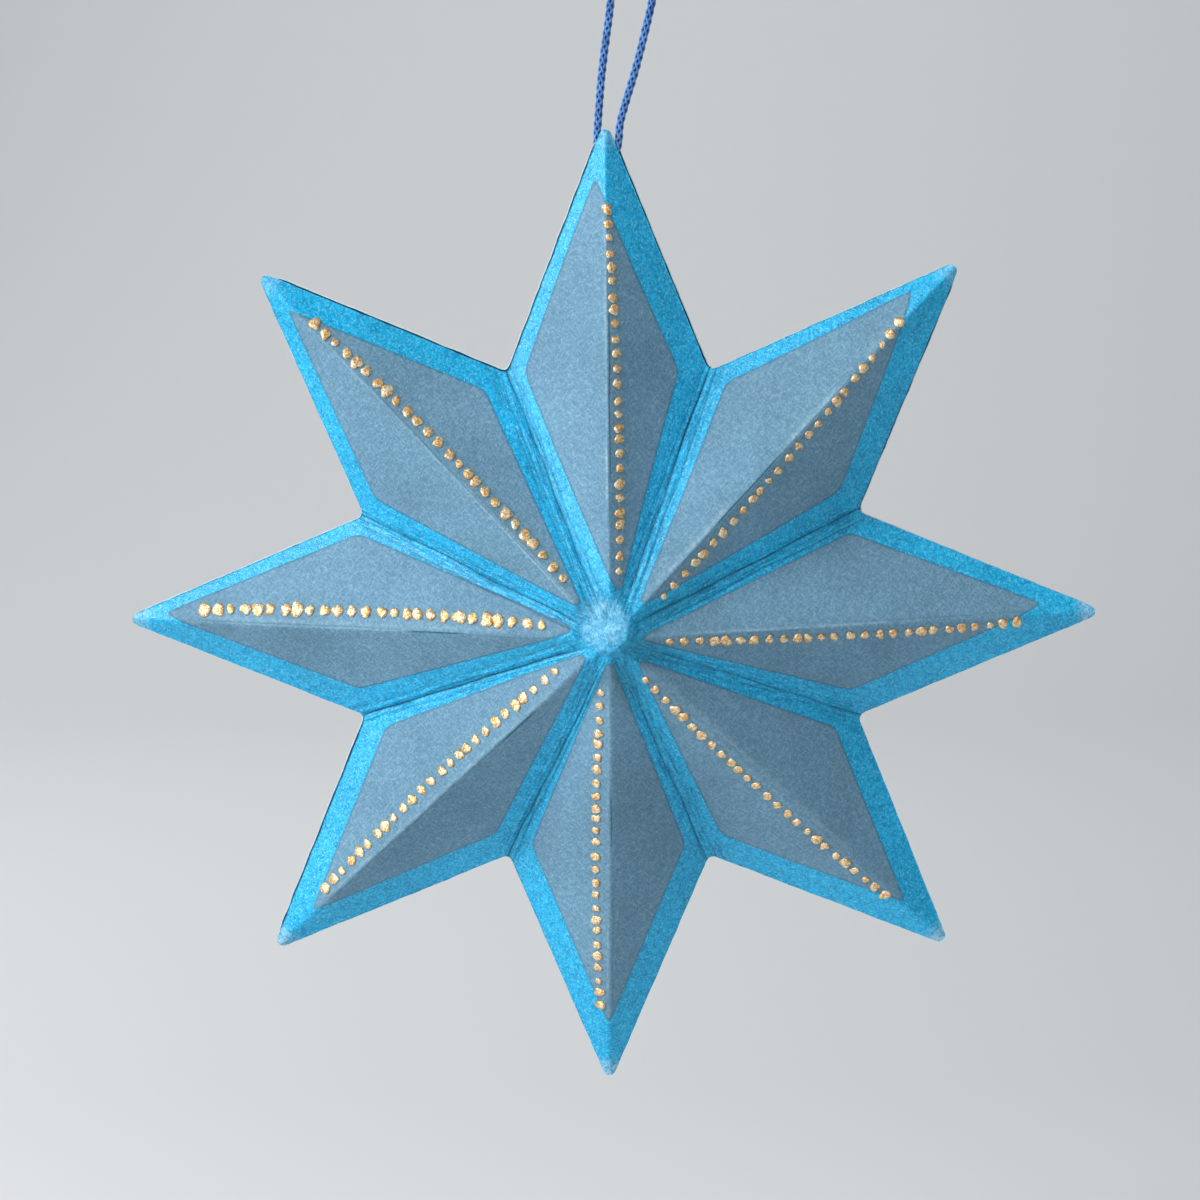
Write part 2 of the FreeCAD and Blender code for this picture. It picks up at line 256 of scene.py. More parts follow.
    satin = add(tree, "MapRange", {0: felt, 1: 0.35, 2: 0.65, 3: 0.2, 4: 0.36})
    rough = add(tree, "MapRange", {0: ink, 3: satin, 4: 0.8})
    bare = add(tree, "MapRange", {0: ink, 3: 1.0, 4: 0.3})
    relief = add(tree, "Math", {0: felt, 1: bare}, operation="MULTIPLY")
    relief = add(tree, "Math", {0: crossed, 1: 0.10, 2: relief}, operation="MULTIPLY_ADD")
    relief = add(tree, "Math", {0: grain, 1: 0.3, 2: relief}, operation="MULTIPLY_ADD")
    relief = add(tree, "Math", {0: furrow, 1: -0.5, 2: relief}, operation="MULTIPLY_ADD")
    bump = add(tree, "Bump", {"Strength": 1.0, "Distance": 0.00014, "Height": relief})
    shader = add(tree, "BsdfPrincipled", {"Base Color": colour, "Roughness": rough, "Normal": bump,
                                          "Specular IOR Level": 0.36})
    add(tree, "OutputMaterial", {0: shader})
    return material


def undyed_paper():
    """Inside and cut edge of the sheet, which the dye and the brushed pigment don't reach: off-white and
    fibrous, with a dark line of glue and painted shade where the two rims meet."""
    material = new_material("undyed_paper")
    tree = material.node_tree
    place = add(tree, "TexCoord").outputs["Object"]
    fibre = add(tree, "TexNoise", {"Vector": place, "Scale": 1500.0, "Detail": 4.0})
    colour = add(tree, "Mix", {0: fibre, 6: linear("#9CC4DA"), 7: linear("#F2F5F4")}, data_type="RGBA")
    off_seam = add(tree, "Math", {0: add(tree, "SeparateXYZ", {0: place}).outputs[1], 1: RIM_PLANE},
                   operation="SUBTRACT")
    off_seam = add(tree, "Math", {0: off_seam}, operation="ABSOLUTE")
    # Dark line at the seam, partly glue and partly painted shade of the gap between the rims
    glue_line_and_shade = add(tree, "MapRange", {0: off_seam, 1: 0.00006, 2: 0.0001, 3: 1.0, 4: 0.0})
    colour = add(tree, "Mix", {0: glue_line_and_shade, 6: colour.outputs[2], 7: linear("#0B3A52")}, data_type="RGBA")
    bump = add(tree, "Bump", {"Strength": 0.6, "Distance": 0.00010, "Height": fibre})
    shader = add(tree, "BsdfPrincipled", {"Base Color": colour.outputs[2], "Roughness": 0.85, "Normal": bump})
    add(tree, "OutputMaterial", {0: shader})
    return material


def gold_paint():
    """Gold relief paint, dabbed on and dried crinkled: a warm, half metallic yellow whose crinkles break up
    its glints, with cream patches painted into the colour as painted highlights."""
    material = new_material("gold_relief_paint")
    tree = material.node_tree
    place = add(tree, "TexCoord").outputs["Object"]
    crinkle = add(tree, "TexNoise", {"Vector": place, "Scale": 1900.0, "Detail": 3.0, "Distortion": 1.2})
    # Cream patches among the gold are painted highlights, laid out by the crinkles
    painted_glint = add(tree, "MapRange", {0: crinkle, 1: 0.42, 2: 0.58, 3: 0.0, 4: 1.0})
    colour = add(tree, "Mix", {0: painted_glint, 6: linear("#DFA055"), 7: linear("#FFF0CC")}, data_type="RGBA")
    bump = add(tree, "Bump", {"Strength": 1.0, "Distance": 0.00016, "Height": crinkle})
    shader = add(tree, "BsdfPrincipled", {"Base Color": colour.outputs[2], "Metallic": 0.65, "Roughness": 0.4,
                                          "Normal": bump})
    add(tree, "OutputMaterial", {0: shader})
    return material


def braided_cotton():
    """Braided cotton cord, dyed mid blue: soft matt yarns with a fine twist, painted shade in the gaps
    between the yarns and a paler top, partly fuzz and partly painted highlight.
    """
    material = new_material("braided_cotton")
    tree = material.node_tree
    place = add(tree, "TexCoord").outputs["Object"]
    twist = add(tree, "TexNoise", {"Vector": place, "Scale": 5200.0, "Detail": 3.0})
    tuft = add(tree, "TexNoise", {"Vector": place, "Scale": 900.0, "Detail": 3.0})
    proud = add(tree, "Math", {0: add(tree, "Attribute", attribute_name="proud").outputs["Fac"], 1: tuft,
                               2: -0.5}, operation="MULTIPLY_ADD")
    proud = add(tree, "MapRange", {0: proud, 1: -0.4, 2: 0.3})
    # From the gaps to the tops of the yarns: navy painted shade to pale blue, partly fuzz and partly painted
    # highlight
    colour = add(tree, "Mix", {0: proud, 6: linear("#0E3A84"), 7: linear("#6CA8EA")}, data_type="RGBA")
    bump = add(tree, "Bump", {"Strength": 0.7, "Distance": 0.00006, "Height": twist})
    shader = add(tree, "BsdfPrincipled", {"Base Color": colour.outputs[2], "Roughness": 0.85, "Normal": bump,
                                          "Sheen Weight": 0.35, "Sheen Roughness": 0.4})
    add(tree, "OutputMaterial", {0: shader})
    return material


# Cord

def shown(name, mesh, materials):
    piece = bpy.data.objects.new(name, mesh)
    bpy.context.collection.objects.link(piece)
    for material in materials:
        mesh.materials.append(material)
    return piece


def as_mesh(curve):
    """Mesh of a curve, made through an object that isn't kept."""
    holder = bpy.data.objects.new("holder", curve)
    bpy.context.collection.objects.link(holder)
    bpy.context.view_layer.update()
    mesh = bpy.data.meshes.new_from_object(holder)
    bpy.data.objects.remove(holder)
    return mesh


def cord_route():
    """Points of the cord's smooth centreline, in metres."""
    curve = bpy.data.curves.new("cord_route", "CURVE")
    curve.dimensions = "3D"
    curve.resolution_u = 64
    spline = curve.splines.new("NURBS")
    spline.points.add(len(ROUTE) - 1)
    for point, at in zip(spline.points, ROUTE):
        point.co = (*((SHARP_TIP + Vector(at)) * MM), 1.0)
    spline.order_u = 3
    spline.use_endpoint_u = True
    return [Vector(vertex.co) for vertex in as_mesh(curve).vertices]


def strand_tube(points, radius):
    """Round strand through points."""
    curve = bpy.data.curves.new("strand", "CURVE")
    curve.dimensions = "3D"
    curve.bevel_depth = radius
    curve.bevel_resolution = 1
    curve.use_fill_caps = True
    spline = curve.splines.new("POLY")
    spline.points.add(len(points) - 1)
    for point, at in zip(spline.points, points):
        point.co = (*at, 1.0)
    return as_mesh(curve)


def braid(route, material):
    """Eight yarns, four each way round, that pass over and under each other round a core."""
    steps = [0.0]
    for before, after in zip(route, route[1:]):
        steps.append(steps[-1] + (after - before).length / MM)
    count = int(steps[-1] / (BRAID_PITCH / STEPS_A_TURN))
    table = np.array(route)
    spread = np.linspace(0.0, steps[-1], count)
    middles = [Vector([np.interp(step, steps, table[:, axis]) for axis in range(3)]) for step in spread]
    neighbours = zip(middles[:1] + middles, middles[1:] + middles[-1:])
    ways = [(after - before).normalized() for before, after in neighbours]
    sideways = ways[0].orthogonal().normalized()
    frames = []
    for way in ways:
        sideways = (sideways - way * sideways.dot(way)).normalized()
        frames.append((sideways, way.cross(sideways)))
    whole = bmesh.new()
    whole.from_mesh(strand_tube(middles[::4], CORE * MM))
    for turn in (1, -1):
        for yarn in range(YARNS_EACH_WAY):
            points = []
            for step, middle, (right, up) in zip(spread, middles, frames):
                angle = 2 * math.pi * (turn * step / BRAID_PITCH + yarn / YARNS_EACH_WAY)
                weave = turn * YARN_WEAVE * math.cos(2 * math.pi * YARNS_EACH_WAY * step / BRAID_PITCH)
                out = (YARN_RING + weave) * MM
                points.append(middle + (right * math.cos(angle) + up * math.sin(angle)) * out)
            whole.from_mesh(strand_tube(points, YARN * MM))
    for face in whole.faces:
        face.smooth = True
    mesh = bpy.data.meshes.new("braided_cord")
    whole.to_mesh(mesh)
    whole.free()
    # How far each place stands out of the cord, 0 in the gaps between the yarns and 1 on their tops
    near = kdtree.KDTree(len(middles))
    for number, middle in enumerate(middles):
        near.insert(middle, number)
    near.balance()
    away = np.array([near.find(vertex.co)[2] for vertex in mesh.vertices]) / MM
    proud = np.clip((away - YARN_RING) / YARN, 0.0, 1.0)
    mesh.attributes.new("proud", "FLOAT", "POINT").data.foreach_set("value", proud.astype(np.float32))
    return shown("braided_cord", mesh, [material])


cotton = braided_cotton()
route = cord_route()
cord = braid(route, cotton)
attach(cord, "root")
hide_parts("hanging_cord")
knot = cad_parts["cord_knot"]
knot.data.materials.clear()
knot.data.materials.append(cotton)


# Sheets

# Where a ray's tip and the corner on its clockwise side lie off their ideal places, outward and clockwise
TIP_SHIFTS = [(-0.1, -0.3), (0.6, -0.6), (0.6, -0.1), (-0.5, 0.1),
              (0.0, 0.6), (-0.1, 0.1), (-0.4, -0.2), (-0.2, 0.0)]
CORNER_SHIFTS = [(-0.4, -0.3), (0.2, -0.2), (0.5, 0.1), (0.1, 0.5),
                 (0.2, 0.3), (0.1, 0.1), (-0.2, 0.1), (-0.5, 0.1)]
# Where each ray's printed kite has its inner and its outer point, as (along, across), and how far its
# middle bends to the clockwise side
PRINTS = [((7.3, 1.4), (66.8, -1.6), -0.8), ((7.3, -0.3), (67.0, -2.2), 0.5), ((5.2, 0.0), (65.4, -1.6), 0.0),
          ((6.0, -0.5), (64.4, -0.4), 0.2), ((3.9, 0.0), (64.5, 0.1), 0.1), ((4.8, 0.8), (65.6, 0.4), 0.0),
          ((6.2, 1.3), (68.6, 1.1), 0.0), ((7.0, 0.3), (67.8, -0.6), -0.1)]
PRINT_START, PRINT_END = 5.7, 66.1  # the same two points on the kite as it is drawn
# The row of gold dots is stamped alike on every ray: along it, from the first dot to the last, and size
DOT_STEPS = [0.0, 2.13, 4.5, 6.67, 8.34, 10.55, 12.55, 14.84, 17.0, 19.09, 20.67, 22.67, 24.59,
             27.13, 29.3, 31.59, 33.59, 35.96, 37.96, 39.71, 42.25, 44.17, 46.17, 48.59, 50.55, 52.75]
DOT_SIZES = [0.80, 0.95, 0.90, 1.10, 1.15, 0.95, 1.15, 0.95, 0.95, 1.05, 0.98, 0.82, 0.95,
             1.0, 0.95, 1.0, 0.95, 0.85, 1.2, 1.0, 0.95, 1.15, 0.95, 0.8, 1.1, 1.15]
DOT_RADIUS = 0.78  # of a dot of size 1
DOT_BULGE = 0.75  # the row's middle lies this far to the clockwise side of a straight row
# Where each ray's row starts and ends, as (along, across)
DOT_ROWS = [((9.8, 1.55), (62.6, 0.1)), ((9.8, 1.6), (62.6, -0.4)), ((8.8, 0.8), (62.0, 1.05)),
            ((8.5, 1.0), (61.75, 1.0)), ((8.6, 1.4), (61.8, 1.5)), ((9.7, 2.0), (61.9, 1.45)),
            ((10.25, 1.7), (62.75, 1.85)), ((11.1, 1.3), (63.8, 0.85))]

# How softly each ridge is folded
RIDGE_ROUNDS = (0.2, 0.25, 0.4, 0.7, 0.6, 0.5, 0.35, 0.4)
# Creases and scuffs along the ridges: ray, from and to along it, across it, half width, and strength,
# negative for a pale scuff
RIDGE_WEAR = [
    (0, 23, 48, 0.32, 0.09, 0.9), (0, 17, 30, 0.05, 0.08, 0.4), (0, 46, 66, 0.15, 0.08, 0.35),
    (0, 19, 28, -0.3, 0.14, -0.8), (0, 30, 60, -0.2, 0.2, -0.35),
    (1, 22, 36, 0.02, 0.12, 1.0), (1, 34, 66, -0.1, 0.08, 0.45), (1, 8, 22, 0.2, 0.12, 0.3),
    (1, 38, 50, -0.5, 0.3, -0.7), (1, 10, 26, -0.5, 0.35, -0.5), (1, 56, 64, -0.8, 0.4, -0.35),
    (2, 34, 64, -0.6, 0.12, 0.3), (2, 12, 42, -0.25, 0.16, -0.5), (2, 14, 30, 0.15, 0.1, 0.25),
    (3, 8, 52, -0.6, 0.45, -0.35), (3, 20, 60, 0.1, 0.1, 0.15),
    (4, 25, 34, -0.3, 0.12, 0.7), (4, 40, 62, -0.5, 0.1, 0.25), (4, 8, 60, 0.2, 0.2, -0.35),
    (5, 16, 24, -0.33, 0.13, 1.0), (5, 24, 62, -0.3, 0.09, 0.35), (5, 12, 62, 0.3, 0.25, -0.35),
    (6, 22, 31, 0.0, 0.14, 0.95), (6, 31, 64, 0.3, 0.09, 0.35), (6, 8, 22, -0.2, 0.09, 0.25),
    (6, 15, 62, 0.75, 0.3, -0.35), (6, 30, 60, 0.05, 0.12, -0.35),
    (7, 22, 50, 0.32, 0.09, 0.35), (7, 8, 30, -0.1, 0.1, -0.8), (7, 8, 32, 0.3, 0.1, -0.7),
    (7, 26, 60, 0.0, 0.12, -0.4),
]
# How white each tip is worn
TIP_WEAR = (0.35, 0.4, 0.8, 0.9, 0.9, 0.9, 0.5, 0.4)
TIP_WORN = (74.6, 71.0)  # fully from here outward, and not at all inside here
KNOB_HIGHLIGHT = 0.45  # how pale the painted highlight on the crushed middle is
KNOB_HIGHLIGHT_REACH = (2.6, 4.8)  # fully and not at all, from the knob's middle
LOW_SIDE_SHADE = 0.4  # how dark the painted shade on the side below the knob is
CREASE_DEPTH = 0.07
# Folds along the valleys, each valley clockwise of its ray: distance off the valley at its inner end,
# its middle and its outer end, then height (negative for a crease) and half width
VALLEY_FOLDS = [
    [(0.3, 0.08, -0.17, -0.24, 0.11), (1.35, 1.3, 1.0, -0.13, 0.1), (0.75, 0.65, 0.45, 0.22, 0.42),
     (-0.4, -0.35, -0.5, 0.1, 0.16), (-0.5, -0.95, -1.2, -0.06, 0.1)],
    [(-0.46, -0.46, -0.25, -0.24, 0.11), (0.9, 1.0, 1.4, -0.13, 0.1), (0.3, 0.45, 0.5, 0.2, 0.42),
     (-1.1, -1.2, -1.0, 0.13, 0.22)],
    [(-0.25, -0.5, -0.1, -0.14, 0.11), (0.4, 0.3, 0.5, 0.1, 0.4), (-1.2, -1.3, -1.4, 0.09, 0.3)],
    [(-0.2, 0.3, 0.6, -0.17, 0.1), (-0.8, -0.7, -0.9, -0.06, 0.1), (0.8, 0.95, 1.2, 0.07, 0.3),
     (-0.3, -0.2, 0.0, 0.1, 0.3)],
    [(-0.6, -0.25, 0.1, -0.22, 0.11), (-1.2, -0.9, -1.0, -0.13, 0.1), (-0.9, -0.6, -0.5, 0.14, 0.2),
     (0.2, 0.5, 0.75, 0.16, 0.25)],
    [(0.0, 0.3, 0.1, -0.27, 0.12), (-0.4, -0.3, -0.4, 0.17, 0.25), (0.9, 1.0, 0.9, 0.2, 0.35),
     (1.9, 1.7, 1.6, -0.08, 0.12)],
    [(0.1, 0.15, 0.05, -0.22, 0.11), (-1.1, -1.5, -1.3, -0.13, 0.1), (-0.6, -0.6, -0.6, 0.14, 0.3),
     (0.6, 0.6, 0.7, 0.13, 0.25), (1.1, 1.0, 1.2, -0.06, 0.1)],
    [(0.3, 0.1, 0.15, -0.24, 0.11), (1.6, 0.9, 1.0, -0.11, 0.1), (0.8, 0.5, 0.5, 0.13, 0.25),
     (-0.5, -0.6, -0.4, 0.13, 0.3), (-1.1, -1.6, -2.4, -0.09, 0.12), (-0.8, -1.0, -1.5, -0.07, 0.1)],
]

VALLEY_PLACES = (0.08, 0.52, 0.97)  # where a fold's three distances hold, as shares of a valley
VALLEY_ROUND = 0.2  # how softly a valley is pressed
VALLEY_SLOPE = 0.77  # how steeply the sheet rises from a valley, of its slope beside a ridge
TIP_ZONE = 70.0  # from here on a ray is drawn back to its round end
KNOB_AT = (-1.0, 2.2)  # middle of the crushed knob, right and up of the centre
KNOB_PEAK = (1.2, -0.8)  # its highest place
KNOB_HEIGHT = 21.15  # over the rim plane, at its highest place
KNOB_SLOPE = 0.42  # how steeply it falls from there to its upper left
KNOB_TOP = 20.72  # no place stands higher, before it is crumpled
KNOB_RADIUS = 2.8
KNOB_FADE = 5.2  # outside this radius the folds are whole

# Rows of points: across the ridge, off the valley, off the rim, and along the ray
RIDGE_CUTS = [0.1, 0.2, 0.3, 0.42, 0.55, 0.75, 1.1, 1.8, 3.0, 5.0, 7.5, 10.0, 12.5]
VALLEY_CUTS = [0.12, 0.25, 0.38, 0.5, 0.62, 0.75, 0.88, 1.0, 1.15, 1.3, 1.5, 1.8, 2.3, 3.2]
RIM_CUTS = [0.25, 0.7, 1.6]
ROWS = ([0.4 * number for number in range(1, 16)] + [6.0 + 0.95 * number for number in range(1, 68)]
        + [70.4, 71.1, 71.8, 72.5, 73.1, 73.7, 74.2, 74.7, 75.1, 75.4, 75.7, 75.9, 75.97])


def flat_facet():
    """Half of a ray, laid flat along +Y, cut where its folds, pleats and edge need points."""
    facet = bmesh.new()
    outline = ((0.0, 0.0, 0.0), (CORNER_ACROSS, CORNER_ALONG, 0.0), (0.0, TIP_RADIUS, 0.0))
    facet.faces.new([facet.verts.new(at) for at in outline])
    valley_way = Vector((-COS, SIN, 0.0))
    rim_way = Vector((COS, SIN, 0.0))
    cuts = [(Vector((off, 0.0, 0.0)), Vector((1.0, 0.0, 0.0))) for off in RIDGE_CUTS]
    cuts += [(valley_way * off, valley_way) for off in VALLEY_CUTS]
    cuts += [(Vector((0.0, TIP_RADIUS, 0.0)) - rim_way * off, rim_way) for off in RIM_CUTS]
    cuts += [(Vector((0.0, row, 0.0)), Vector((0.0, 1.0, 0.0))) for row in ROWS]
    for place, way in cuts:
        bmesh.ops.bisect_plane(facet, geom=facet.verts[:] + facet.edges[:] + facet.faces[:], dist=1e-4,
                               plane_co=place, plane_no=way)
    return facet


def flat_star():
    """The whole sheet laid flat, with its hollow side and cut edge, before any fold. The attribute
    under is 1 on the hollow side."""
    star = flat_facet()
    bmesh.ops.mirror(star, geom=star.verts[:] + star.edges[:] + star.faces[:], matrix=Matrix(),
                     merge_dist=1e-3, axis="X")
    bmesh.ops.spin(star, geom=star.verts[:] + star.edges[:] + star.faces[:], cent=(0, 0, 0), axis=(0, 0, 1),
                   angle=2 * math.pi * (RAYS - 1) / RAYS, steps=RAYS - 1, use_duplicate=True)
    bmesh.ops.remove_doubles(star, verts=star.verts[:], dist=2e-3)
    bmesh.ops.recalc_face_normals(star, faces=star.faces[:])
    if star.faces[0].normal.z < 0:
        bmesh.ops.reverse_faces(star, faces=star.faces[:])
    under = star.verts.layers.int.new("under")
    shown_side = set(star.faces)
    made = bmesh.ops.extrude_face_region(star, geom=star.faces[:], use_keep_orig=True)["geom"]
    for item in made:
        if isinstance(item, bmesh.types.BMVert):
            item[under] = 1
    others = [face for face in star.faces if face not in shown_side]
    bmesh.ops.reverse_faces(star, faces=others)
    for face in others:
        face.material_index = 1
    for face in star.faces:
        face.smooth = True
    mesh = bpy.data.meshes.new("sheet")
    star.to_mesh(mesh)
    star.free()
    return mesh


def ray_places(points):
    """Ray number, along and across of points on the flat sheet."""
    turn = np.arctan2(points[:, 0], points[:, 1])
    ray = np.round(turn / (2 * HALF_RAY)).astype(int) % RAYS
    angle = ray * 2 * HALF_RAY
    along = points[:, 0] * np.sin(angle) + points[:, 1] * np.cos(angle)
    across = points[:, 0] * np.cos(angle) - points[:, 1] * np.sin(angle)
    return ray, along, across


def plan(ray, along, across):
    """Place (x, y) in the rim plane, from the star's centre."""
    angle = ray * 2 * HALF_RAY
    return across * np.cos(angle) + along * np.sin(angle), along * np.cos(angle) - across * np.sin(angle)


def fade(value, full, none):
    """1 at full and beyond, 0 at none and beyond, smooth between."""
    share = np.clip((value - none) / (full - none), 0.0, 1.0)
    return share * share * (3 - 2 * share)


def lumps(x, y, size, seed):
    """Smooth noise of about -1 to 1 on the flat sheet, with lumps of about that size in millimetres."""
    return np.array([noise.noise((a, b, seed)) for a, b in zip(x / size, y / size)])


def turned(shifts, ray, offset):
    """Plan shift (x, y) of each point, from an (outward, clockwise) pair of its ray. A valley lies half
    a ray further."""
    table = np.array(shifts)[ray]
    return plan(ray + offset, table[:, 0], table[:, 1])


def bell(value, middle, half_width):
    return np.exp(-((value - middle) / half_width) ** 2)


def wander(sheet, number, along):
    """Small sideways stray of a fold, in millimetres."""
    draw = random.Random(sheet["seed"] * 100 + number)
    return (0.06 * np.sin(along / draw.uniform(1.3, 2.2) + draw.uniform(0, 6))
            + 0.09 * np.sin(along / draw.uniform(3.0, 6.0) + draw.uniform(0, 6)))


def fold_path(sheet, number, fold, along):
    """How far off its valley a fold lies, along the ray."""
    places = sheet["valleys"][number][fold][:3]
    return np.interp(along / INNER_RADIUS, VALLEY_PLACES, places) + wander(sheet, number * 9 + fold, along)


def valley_relief(sheet, valley, off, along):
    """Height of the folds beside a valley. off is the distance from it, positive on its clockwise side."""
    height = np.zeros_like(off)
    for number, folds in enumerate(sheet["valleys"]):
        here = valley == number
        for fold, (*_, rise, half_width) in enumerate(folds):
            height[here] += rise * bell(off[here], fold_path(sheet, number, fold, along[here]), half_width)
    return height


def dark_and_pale_masks(sheet, ray, along, across):
    """How dark with creases and painted shade, and how pale with scuffs and a painted highlight, the sheet
    is, each from 0 to 1.
    """
    crease_marks_and_shade, scuffs_and_highlight = np.zeros_like(along), np.zeros_like(along)
    for number, (row_ray, start, end, middle, half_width, strength) in enumerate(sheet["dark_and_pale"]):
        here = (ray == row_ray) & (along > start - 3) & (along < end + 3)
        ends = fade(along[here], start + 1.5, start - 1.0) * fade(along[here], end - 1.5, end + 1.0)
        path = middle + 0.6 * wander(sheet, 80 + number, along[here])
        mask = abs(strength) * ends * bell(across[here], path, half_width)
        kind = crease_marks_and_shade if strength > 0 else scuffs_and_highlight
        kind[here] = np.maximum(kind[here], mask)
    scuffs_and_highlight = np.maximum(scuffs_and_highlight, np.array(sheet["tip_wear"])[ray] * fade(along, *TIP_WORN))
    # The crushed middle is painted pale as a painted highlight, and on its low side the valleys are creased
    # and darkened with painted shade
    flat_x, flat_y = plan(ray, along, across)
    from_knob = np.hypot(flat_x - KNOB_AT[0], flat_y - KNOB_AT[1])
    scuffs_and_highlight = np.maximum(scuffs_and_highlight, KNOB_HIGHLIGHT * fade(from_knob, *KNOB_HIGHLIGHT_REACH))
    dip = along * SIN - np.abs(across) * COS
    low_side = fade(flat_x - flat_y, 5.0, 1.5) * fade(np.hypot(flat_x, flat_y), 5.0, 16.0)
    crease_marks_and_shade = np.maximum(crease_marks_and_shade, LOW_SIDE_SHADE * low_side * fade(dip, 1.4, 2.6))
    # Dark lines along the creases of the valley folds: painted shade in the creases
    side = np.where(across < 0, -1.0, 1.0)
    valley = np.where(across < 0, ray - 1, ray) % RAYS
    for number, folds in enumerate(sheet["valleys"]):
        here = (valley == number) & (dip < 3.5)
        for fold, (*_, rise, half_width) in enumerate(folds):
            if rise < 0:
                path = fold_path(sheet, number, fold, along[here])
                mask = min(1.0, -rise / 0.2) * bell(-side[here] * dip[here], path, half_width * 1.1)
                crease_marks_and_shade[here] = np.maximum(crease_marks_and_shade[here], mask * fade(along[here], 7.0, 3.0))
    return crease_marks_and_shade, scuffs_and_highlight


def folded(sheet, ray, along, across, under):
    """Points of the folded sheet, lying with its rim plane at z = 0, for places on the flat sheet."""
    flat_x, flat_y = plan(ray, along, across)
    side = np.where(across < 0, -1.0, 1.0)
    valley = np.where(across < 0, ray - 1, ray) % RAYS
    seed = sheet["seed"]

    # The tip is drawn back to a round end
    round_centre = TIP_RADIUS - TIP_ROUND / SIN
    blunt_end = round_centre + TIP_ROUND
    share = np.clip((along - TIP_ZONE) / (TIP_RADIUS - TIP_ZONE), 0.0, 1.0)
    drawn = np.where(along > TIP_ZONE, TIP_ZONE + (blunt_end - TIP_ZONE) * share, along)
    before = np.maximum((TIP_RADIUS - along) * TAN, 1e-6)
    arc = np.sqrt(np.maximum(TIP_ROUND ** 2 - (drawn - round_centre) ** 2, 0.0))
    after = np.where(drawn > round_centre + TIP_ROUND * SIN, arc, (TIP_RADIUS - drawn) * TAN)
    off = np.abs(across) * after / before
    along = drawn

    rim = (TIP_RADIUS - along) * SIN - off * COS
    dip = np.maximum(along * SIN - off * COS, 0.0)
    corner_share = off / CORNER_ACROSS
    tip_share = np.clip((along - corner_share * CORNER_ALONG) / TIP_RADIUS, 0.0, 1.0)
    centre_share = np.clip(1 - tip_share - corner_share, 0.0, 1.0)
    radius = np.hypot(off, along)

    height = EDGE_RISE + RISE_PER_MM * rim
    soft = np.array(sheet["ridges"])[ray]
    height -= RISE_PER_MM * COS * (np.sqrt(off ** 2 + soft ** 2) - off)
    height += RISE_PER_MM * COS * VALLEY_SLOPE * (np.sqrt(dip ** 2 + VALLEY_ROUND ** 2) - dip)
    edge_fade = fade(rim, 0.9, 0.0)
    height += valley_relief(sheet, valley, -side * dip, along) * fade(along, 8.0, 3.5) * edge_fade
    crease_marks_and_shade = dark_and_pale_masks(sheet, ray, along, side * off)[0]
    height -= CREASE_DEPTH * crease_marks_and_shade * fade(rim, 0.8, 0.1) * fade(dip, 4.0, 3.0)

    # Facets aren't quite flat, and the paper is a little lumpy
    draw = random.Random(seed)
    bows = np.array([draw.uniform(-0.35, 0.35) for _ in range(2 * RAYS)])
    height += bows[2 * ray + (side > 0)] * 27 * corner_share * tip_share * centre_share
    height += 0.07 * lumps(flat_x, flat_y, 8.0, seed) * edge_fade
    height += 0.022 * lumps(flat_x, flat_y, 2.4, seed + 3) * edge_fade

    # The middle is crushed in on its upper left, down to the valleys, which leaves a broad face there
    from_knob = np.hypot(flat_x - KNOB_AT[0], flat_y - KNOB_AT[1])
    from_knob += 0.5 * lumps(flat_x, flat_y, 3.0, seed + 7)
    knob = 1 - fade(from_knob, KNOB_FADE, KNOB_RADIUS)
    crown = KNOB_HEIGHT - KNOB_SLOPE * ((KNOB_PEAK[0] - flat_x) + (flat_y - KNOB_PEAK[1])) * math.sqrt(0.5)
    crown += 0.25 * lumps(flat_x, flat_y, 2.0, seed + 9)
    height = height * (1 - knob) + crown * knob
    height = np.minimum(height, KNOB_TOP)
    crumpled = 1 - fade(radius, 8.5, 4.5)
    crumple = 0.24 * lumps(flat_x, flat_y, 1.5, seed + 13) + 0.15 * lumps(flat_x, flat_y, 0.7, seed + 11)
    height += crumple * crumpled

    # Plan: inner corners are rounded, the cut edge waves a little and the folds stray from their places
    notch = CORNER_ROUND / math.sqrt(2)
    lateral = np.minimum(dip / 1.0, notch)
    push = CORNER_ROUND * math.sqrt(2) - np.sqrt(CORNER_ROUND ** 2 - lateral ** 2) - lateral
    push = push * fade(rim, 0.0, 3.0)
    waver = 0.09 * lumps(flat_x, flat_y, 3.0, seed + 21) + 0.05 * lumps(flat_x, flat_y, 0.7, seed + 23)
    outward = waver * fade(rim, 0.0, 1.0)
    spread = np.array(sheet["spread"])[ray, (side > 0).astype(int)]
    outward += spread * fade(rim, 0.0, 6.0) * fade(along, 71.0, 74.0)
    outward -= under * 0.2 * fade(rim, 0.0, 0.7)
    off = off + outward * COS + push * SIN
    along = along + outward * SIN + push * COS
    x, y = plan(ray, along, side * off)
    tip_x, tip_y = turned(sheet["tips"], ray, 0.0)
    corner_x, corner_y = turned(sheet["corners"], valley, 0.5)
    x += tip_x * tip_share + corner_x * corner_share
    y += tip_y * tip_share + corner_y * corner_share
    height = np.maximum(height - under * PAPER_DEPTH, 0.0)
    return np.stack((x, y, height), axis=1)


def stood_up(sheet, points):
    """Lying points in millimetres to their place on the hanging star in metres."""
    placed = np.empty_like(points)
    placed[:, 0] = STAR_CENTRE.x + points[:, 0] * MM
    placed[:, 1] = STAR_CENTRE.y + sheet["faces"] * points[:, 2] * MM
    placed[:, 2] = STAR_CENTRE.z + points[:, 1] * MM
    return placed


def set_points(mesh, points):
    mesh.vertices.foreach_set("co", points.astype(np.float32).ravel())
    mesh.update()


